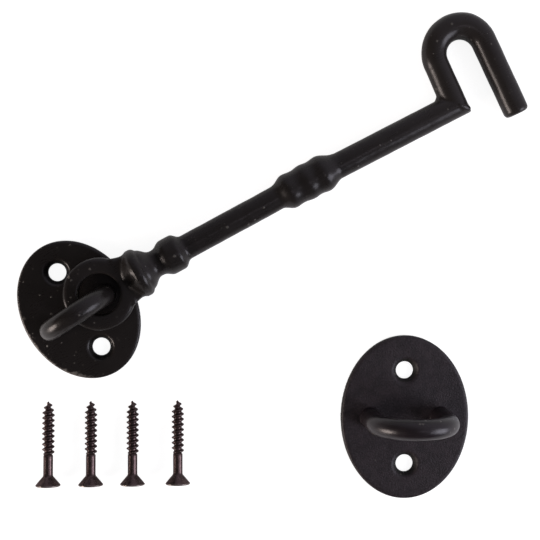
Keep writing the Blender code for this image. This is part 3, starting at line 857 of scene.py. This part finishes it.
def bar_forms(sizes):
    """The round bar with its corner, neck, bend and leg, and the corner's web and ridge."""
    near, far = sizes.near_bar / 2.0, sizes.far_bar / 2.0
    groove = Vector((FIRST_GROOVE, 0.0, 0.0))
    crook = rotated(sizes.far_bar_turn)
    corner = Vector((sizes.corner_station - FIRST_GROOVE, 0.0, 0.0))
    bend_path, bend_radii = bend_and_leg(sizes, corner)
    far_path = [Vector((0.0001, 0.0, 0.0)), corner, *bend_path]
    web_reach, web_radius = 0.0050, 0.0026
    neck = Vector((web_reach * math.sin(sizes.neck_lean), web_reach, 0.0))
    web_path = [corner - Vector((web_reach, 0.0, 0.0)), corner + neck]
    ridge_path, ridge_radius = [], 0.0011
    ridge_reach = far - 0.00085
    for i in range(ROUND_STEPS + 1):
        turn = math.radians(5.0 + 58.0 * i / ROUND_STEPS)
        out, up = ridge_reach * math.sin(turn), ridge_reach * math.cos(turn)
        ridge_path.append(corner + Vector((out, -out, up)))
    far_path, web_path, ridge_path = (
        [groove + crook @ point for point in path]
        for path in (far_path, web_path, ridge_path))
    bar_path = [Vector((COLLAR_BACK, 0.0, 0.0)), groove, *far_path]
    mitre = crook @ Vector((1.0, 1.0, 0.0)).normalized()
    return [
        swept(bar_path, [near, near, far, far, *bend_radii], UPWARDS, sides=72),
        swept(web_path, [web_radius] * len(web_path), UPWARDS, sides=48),
        swept(ridge_path, [ridge_radius] * len(ridge_path), mitre, sides=24),
    ]


class LATCH_OT_hook(bpy.types.Operator):
    """Cast the hook: ring, collar, bead, triple bead, bar and hooked end in one piece"""

    bl_idname = "latch.hook"
    bl_label = "Cast the Hook"
    bl_options = {"REGISTER", "UNDO"}

    def execute(self, context):
        sizes, finishes, _ = latch_settings(context)
        made = gathered("cast_hook", [
            ring_form(sizes),
            shoulder_form(sizes),
            collar_form(sizes),
            triple_bead_form(sizes),
            *bar_forms(sizes),
        ])
        fused_skin(made, finishes, smoothing=8, evened=1.0, lump_size=0.005)
        soften_between(made, start=0.0080, end=0.0118, passes=40)
        slope, height = hook_rest(sizes)
        ring_middle = moved(sizes.hook_staple_radius - 0.0010, 0.0009, height)
        made.matrix_world = ring_middle @ rotated(sizes.hook_swing) @ rotated(slope, "Y")
        coat = finish_of(
            "hook enamel", enamel, finishes, worn_from=-3.0, worn_to=-8.0, chips=0.30,
            specks_share=0.45)
        seat(made, "hook", "hook", coat)
        return {"FINISHED"}


def oval_form(sizes, length, width):
    """A flat oval plate with its upper edge rounded."""
    centre = (-sizes.plate_edge_round, sizes.plate_thickness - sizes.plate_edge_round)
    edge = arc(centre, sizes.plate_edge_round, 0.0, QUARTER_TURN, ROUND_STEPS)
    return skinned([
        [((width / 2.0 + inset) * x, (length / 2.0 + inset) * y, height) for x, y in around(192)]
        for inset, height in [(0.0, 0.0)] + edge
    ])


def screw_hole_form(sizes, place):
    """What a countersunk screw hole takes out of a plate."""
    hole = sizes.screw_hole / 2.0
    sink = sizes.countersink / 2.0
    top = sizes.plate_thickness
    over = top / 2.0
    outline = [
        (top + over, 0.0), (top + over, sink + over * COUNTERSINK_SLOPE),
        (top - (sink - hole) / COUNTERSINK_SLOPE, hole), (-over, hole), (-over, 0.0),
    ]
    return turned(outline, steps=72, place=place)


def rivet_hole_form(sizes, place):
    """The sink for a riveted tail in the plate's back face."""
    gap = 0.0003
    hole = sizes.tenon / 2.0 + gap
    sink = sizes.rivet_head / 2.0 + gap
    over = sizes.plate_thickness / 2.0
    depth = sizes.plate_thickness - 0.0006
    outline = [
        (depth, 0.0), (depth, hole), (sink - hole, hole), (-over, sink + over), (-over, 0.0)]
    return turned(outline, steps=72, place=place)


def hook_staple_place(sizes):
    """Where the hook's staple stands on its plate: a little off the middle and askew."""
    return moved(y=sizes.hook_staple_shift) @ rotated(sizes.hook_staple_turn)


def eye_place(packed, stage):
    """Where a piece of the eye set stands, square to the photo."""
    return Matrix.Translation(box_middle(packed)) @ rotated(-stage.photo_turn)


def pressed_plate(name, sizes, finishes, bend_radius, staple):
    """A backplate with two countersunk screw holes and two sinks for the staple's tails."""
    length, width, hole_spacing = (
        getattr(sizes, name + part) for part in ("_length", "_width", "_holes"))
    made = gathered("pressed_" + name, [oval_form(sizes, length, width)])
    cutters = []
    for side in (-1.0, 1.0):
        cutters.append(screw_hole_form(sizes, moved(y=side * hole_spacing / 2.0)))
        cutters.append(rivet_hole_form(sizes, staple @ moved(side * bend_radius)))
    cut_away(made, cutters)
    fused_skin(made, finishes, smoothing=5, evened=4.0, lump_size=0.006)
    return made


class LATCH_OT_plates(bpy.types.Operator):
    """Press the two oval backplates"""

    bl_idname = "latch.plates"
    bl_label = "Press the Plates"
    bl_options = {"REGISTER", "UNDO"}

    def execute(self, context):
        sizes, finishes, stage = latch_settings(context)
        staple = hook_staple_place(sizes)
        made = pressed_plate("hook_plate", sizes, finishes, sizes.hook_staple_radius, staple)
        plate = (sizes.hook_plate_width, sizes.hook_plate_length, sizes.plate_thickness)
        coat = finish_of(
            "hook plate enamel", enamel, finishes, worn_from=-4.0, worn_to=-12.0, chips=0.62,
            specks_share=0.30, plate=plate)
        seat(made, "hook_plate", "hook_plate", coat)
        made = pressed_plate("eye_plate", sizes, finishes, sizes.eye_bend_radius, AS_IT_IS)
        made.matrix_world = eye_place("eye_plate", stage)
        coat = finish_of(
            "eye plate powder coat", powder_coat, finishes, finishes.powder_roughness,
            mottling=2.0, grain=0.00018, top=sizes.plate_thickness)
        seat(made, "eye", "eye_plate", coat)
        return {"FINISHED"}


def bent_staple(name, sizes, finishes, wire, bend_radius, top):
    """A bent wire whose feet sit in a bead of paint, with riveted tails in the plate's back."""
    radius = wire / 2.0
    foot = sizes.plate_thickness - 0.0003
    bend = arc((0.0, top - radius - bend_radius), bend_radius, 0.0, math.pi, 96)
    path = [(bend_radius, foot), *bend, (-bend_radius, foot)]
    path = [(x, 0.0, z) for x, z in path]
    forms = [swept(path, [radius] * len(path), SIDEWAYS, sides=64)]
    tenon = sizes.tenon / 2.0
    head = sizes.rivet_head / 2.0
    tail_end = 0.0002
    bead = 0.0004
    bead_top = foot + bead * 2.5
    outline = [(bead_top, 0.0), (bead_top, radius - bead / 2.0)]
    outline += ease(outline[-1], (foot, radius + bead), ROUND_STEPS)
    outline += [
        (foot, tenon), (tail_end + head - tenon, tenon), (tail_end, head), (tail_end, 0.0)]
    for side in (-1.0, 1.0):
        forms.append(turned(outline, steps=64, place=moved(side * bend_radius)))
    made = gathered(name, forms)
    fused_skin(made, finishes, smoothing=6, evened=3.0, lump_size=0.004)
    return made


class LATCH_OT_staples(bpy.types.Operator):
    """Bend the two staples"""

    bl_idname = "latch.staples"
    bl_label = "Bend the Staples"
    bl_options = {"REGISTER", "UNDO"}

    def execute(self, context):
        sizes, finishes, stage = latch_settings(context)
        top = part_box("hook_staple")[1].z
        made = bent_staple(
            "bent_hook_staple", sizes, finishes, sizes.hook_staple_wire,
            sizes.hook_staple_radius, top)
        made.matrix_world = hook_staple_place(sizes)
        coat = finish_of(
            "staple enamel", enamel, finishes, worn_from=-8.0, worn_to=-14.0, chips=0.35,
            specks_share=0.10)
        seat(made, "hook_plate", "hook_staple", coat)
        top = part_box("eye_staple")[1].z
        made = bent_staple(
            "bent_eye_staple", sizes, finishes, sizes.eye_staple_wire, sizes.eye_bend_radius, top)
        made.matrix_world = eye_place("eye_staple", stage)
        coat = finish_of(
            "eye staple powder coat", powder_coat, finishes, finishes.powder_roughness - 0.14,
            mottling=1.2, grain=0.000015)
        seat(made, "eye", "eye_staple", coat)
        return {"FINISHED"}


def thread_rise(share):
    """Height of the thread's rounded V at a share of its pitch, from 0 to 1."""
    flank, crest = 0.36, 0.75
    slope = 1.0 - abs(share - 0.5) / flank
    return max(0.0, min(crest, slope)) / crest


def plain_part(head, shank, cone_end, thread_start):
    """Stations and radii of a screw's head and shank, close together where a face turns."""
    cone_start = (SCREW_RIM + 0.00015, head - 0.00014)
    cone_stop = (cone_end - 0.0001, shank + 0.0001)
    cone = [
        tuple(near + (far - near) * share for near, far in zip(cone_start, cone_stop))
        for share in (0.0, 0.1, 0.9, 1.0)
    ]
    return [
        (0.0, head - 0.0003), (0.00008, head - 0.00013), (0.0002, head - 0.00003),
        (0.0003, head), (SCREW_RIM, head - 0.00003),
        *cone,
        (cone_end + 0.0003, shank), (cone_end + 0.0007, shank),
        (thread_start - 0.0006, shank), (thread_start - 0.0002, shank),
        (thread_start, shank - 0.0001),
    ]


def screw_form(sizes):
    """A wood screw along Z: its face at 0, countersunk head, shank, thread and gimlet point."""
    head = sizes.screw_head / 2.0
    shank = sizes.screw_shank / 2.0
    root = sizes.screw_root / 2.0
    crest = sizes.screw_crest / 2.0
    cone_end = SCREW_RIM + (head - shank) / COUNTERSINK_SLOPE
    thread_start = cone_end + SHANK_LENGTH
    sides = 48
    outlines = [[spot] * sides for spot in plain_part(head, shank, cone_end, thread_start)]
    step = sizes.screw_pitch / 16.0
    station = thread_start + 0.0001
    while station < sizes.screw_length - step / 2.0:
        to_tip = sizes.screw_length - station
        core = root * min(1.0, to_tip / SCREW_TAPER) ** 0.8
        fade = min(1.0, to_tip / 0.0010) * min(1.0, (station - thread_start) / 0.0006)
        turns = [(station / sizes.screw_pitch - k / sides) % 1.0 for k in range(sides)]
        outlines.append([
            (station, core + (crest - root) * fade * thread_rise(turn)) for turn in turns])
        station += step
    rings = [
        [(radius * x, radius * y, along) for (along, radius), (x, y) in zip(ring, around(sides))]
        for ring in outlines
    ]
    return skinned(rings, (0.0, 0.0, sizes.screw_length))


def recess_forms():
    """The two tapered arms of a cross recess."""
    at_face = (0.0038, 0.0010, -0.0004)
    at_bottom = (0.0038 * 0.35, 0.0010 * 0.7, 0.0017)
    return [tapered_block(2, at_face, at_bottom, rotated(turn)) for turn in (0.0, QUARTER_TURN)]


def screw_middle(packed, sizes, stage):
    """The middle of a packed screw's length on the floor, from the corners of its box."""
    low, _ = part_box(packed)
    across = towards(-stage.photo_turn)
    along = towards(QUARTER_TURN - stage.photo_turn)
    head = sizes.screw_head / 2.0
    face = Vector((low.x + head * across.x, low.y - head * across.y, 0.0))
    return face + along * sizes.screw_length / 2.0


class LATCH_OT_screws(bpy.types.Operator):
    """Cut the wood screws and lay them side by side"""

    bl_idname = "latch.screws"
    bl_label = "Cut the Screws"
    bl_options = {"REGISTER", "UNDO"}

    def execute(self, context):
        sizes, finishes, stage = latch_settings(context)
        head = sizes.screw_head / 2.0
        crest = sizes.screw_crest / 2.0
        thread_end = sizes.screw_length - SCREW_TAPER
        slope = math.atan((head - crest) / (thread_end - SCREW_RIM))
        height = head * math.cos(slope) + SCREW_RIM * math.sin(slope)
        turn = rotated(-stage.photo_turn)
        lie_down = rotated(-QUARTER_TURN - slope, "X")
        face = turn @ Vector((0.0, -sizes.screw_length / 2.0, height))
        for number in range(1, sizes.screw_count + 1):
            made = gathered("wood_screw_%d" % number, [screw_form(sizes)])
            for arm in recess_forms():
                cut_away(made, [arm])
            made.data.shade_smooth()
            made.data.set_sharp_from_angle(angle=math.radians(50.0))
            packed = "screw_%d" % number
            middle = screw_middle(packed, sizes, stage)
            made.matrix_world = Matrix.Translation(middle + face) @ turn @ lie_down
            coat = finish_of("screw bronze", screw_coat, finishes)
            seat(made, packed, packed, coat)
        return {"FINISHED"}


def soft_box(name, stage, azimuth, elevation, distance, size, brightness, tint):
    """A square area light that faces the latch. Its azimuth is measured in the camera's view."""
    light = bpy.data.lights.new(name, "AREA")
    light.shape = "SQUARE"
    light.size = size
    light.energy = brightness * math.pi * size * size
    light.color = tint
    made = linked(name, light)
    turn = math.radians(azimuth) - stage.photo_turn
    rise = math.radians(elevation)
    outward = towards(turn) * math.cos(rise) + Vector(UPWARDS) * math.sin(rise)
    made.location = Vector(stage.camera_aim) + outward * distance
    made.rotation_euler = outward.to_track_quat("Z", "Y").to_euler()
    made.visible_camera = False


def ray_kinds(tree):
    """Whether a ray comes from the camera, and whether it comes from a mirror or through glass."""
    rays = node(tree, "ShaderNodeLightPath")
    seen, glossy, passed = (
        Output(tree, rays.outputs[kind])
        for kind in ("Is Camera Ray", "Is Glossy Ray", "Is Transmission Ray"))
    return seen, glossy.or_more(passed)


def white_floor(tree, _, stage):
    """A floor that keeps its shadows, lit from behind for the camera and a little in mirrors."""
    tree.nodes.clear()

    def paper(brightness):
        return output(tree, "ShaderNodeBsdfDiffuse", {"Color": shade((brightness,) * 3)})

    def lit(surface, strength):
        glow = output(tree, "ShaderNodeEmission", {"Color": WHITE, "Strength": strength})
        return output(tree, "ShaderNodeAddShader", {0: surface, 1: glow})

    bounce = paper(0.85)
    seen, by_mirror = ray_kinds(tree)
    inputs = {0: by_mirror, 1: bounce, 2: lit(bounce, stage.mirrored_glow)}
    unseen = output(tree, "ShaderNodeMixShader", inputs)
    inputs = {0: seen, 1: unseen, 2: lit(paper(stage.floor_grey), stage.floor_glow)}
    shown = output(tree, "ShaderNodeMixShader", inputs)
    node(tree, "ShaderNodeOutputMaterial", {"Surface": shown})


def studio_room(scene, stage):
    """White for the camera and at the horizon, and a dim room that is lighter on one side."""
    world = bpy.data.worlds.new("studio room")
    world.use_nodes = True
    tree = world.node_tree
    tree.nodes.clear()
    direction = output(tree, "ShaderNodeTexCoord", socket="Generated")
    lighter_side = towards(math.radians(55.0) - stage.photo_turn)
    sideways = vector_maths("DOT_PRODUCT", direction, lighter_side, "Value")
    room = ramp(sideways, -0.1, 0.9, stage.dark_side, stage.light_side)
    horizon = ramp(part_of(direction, "Z"), 0.0, 0.06, 1.0, 0.0)
    seen, by_mirror = ray_kinds(tree)
    direct = 1.0 - by_mirror
    level = (by_mirror * room.or_more(horizon) + direct * stage.ambient).or_more(seen)
    tint = blend(horizon.or_more(direct), (0.94, 0.86, 1.0, 1.0), WHITE)
    shown = output(tree, "ShaderNodeBackground", {"Color": tint, "Strength": level})
    node(tree, "ShaderNodeOutputWorld", {"Surface": shown})
    scene.world = world


def overhead_camera(scene, stage):
    """The camera that sees what the photo shows."""
    camera = linked("camera", bpy.data.cameras.new("camera"))
    camera.data.lens = stage.camera_lens
    camera.data.sensor_width = 36.0
    camera.data.clip_start = 0.01
    camera.data.clip_end = 20.0
    place = Vector(stage.camera_place)
    back = (place - Vector(stage.camera_aim)).normalized()
    right = towards(QUARTER_TURN - stage.photo_turn).cross(back).normalized()
    axes = Matrix((right, back.cross(right), back)).transposed()
    camera.matrix_world = Matrix.Translation(place) @ axes.to_4x4()
    scene.camera = camera


class LATCH_OT_stage(bpy.types.Operator):
    """Set the white floor, the softboxes and the camera"""

    bl_idname = "latch.stage"
    bl_label = "Set the Stage"
    bl_options = {"REGISTER", "UNDO"}

    def execute(self, context):
        scene = context.scene
        stage = scene.latch_stage
        just_below = (0.0, 0.0, -0.00005)
        bpy.ops.mesh.primitive_plane_add(size=stage.floor_size, location=just_below)
        floor = context.object
        floor.name = "studio_floor"
        floor.data.materials.append(finish_of("white floor", white_floor, stage))
        studio_room(scene, stage)
        # Each with its azimuth, elevation, distance, size, brightness and colour.
        lamps = (
            ("warm_softbox", 207.0, 13.0, 1.0, 0.46, stage.key_radiance, (1.0, 0.86, 0.80)),
            ("cool_softbox", -17.0, 27.0, 1.0, 0.60, stage.fill_radiance, (0.90, 0.88, 1.0)),
            ("ceiling_light", -20.0, 72.0, 1.2, 0.20, stage.ceiling_radiance, (0.97, 0.86, 1.0)),
        )
        for name, *details in lamps:
            soft_box(name, stage, *details)
        overhead_camera(scene, stage)
        scene.view_settings.view_transform = "Standard"
        return {"FINISHED"}


OPERATORS = (LATCH_OT_hook, LATCH_OT_plates, LATCH_OT_staples, LATCH_OT_screws, LATCH_OT_stage)


class LATCH_PT_panel(bpy.types.Panel):
    """Builds the latch piece by piece"""

    bl_idname = "LATCH_PT_panel"
    bl_label = "Hook and Eye Latch"
    bl_space_type = "VIEW_3D"
    bl_region_type = "UI"
    bl_category = "Latch"

    def draw(self, context):
        for operator in OPERATORS:
            self.layout.operator(operator.bl_idname)
        for group in latch_settings(context):
            box = self.layout.box()
            for name in group.__annotations__:
                box.prop(group, name)


CLASSES = (*SETTINGS.values(), *OPERATORS, LATCH_PT_panel)


def register():
    for item in CLASSES:
        bpy.utils.register_class(item)
    for name, group in SETTINGS.items():
        setattr(bpy.types.Scene, name, PointerProperty(type=group))


def unregister():
    for name in SETTINGS:
        delattr(bpy.types.Scene, name)
    for item in reversed(CLASSES):
        bpy.utils.unregister_class(item)


def main():
    """Build the whole latch."""
    register()
    bpy.ops.latch.hook()
    bpy.ops.latch.plates()
    bpy.ops.latch.staples()
    bpy.ops.latch.screws()
    bpy.ops.latch.stage()


if __name__ == "__main__":
    main()
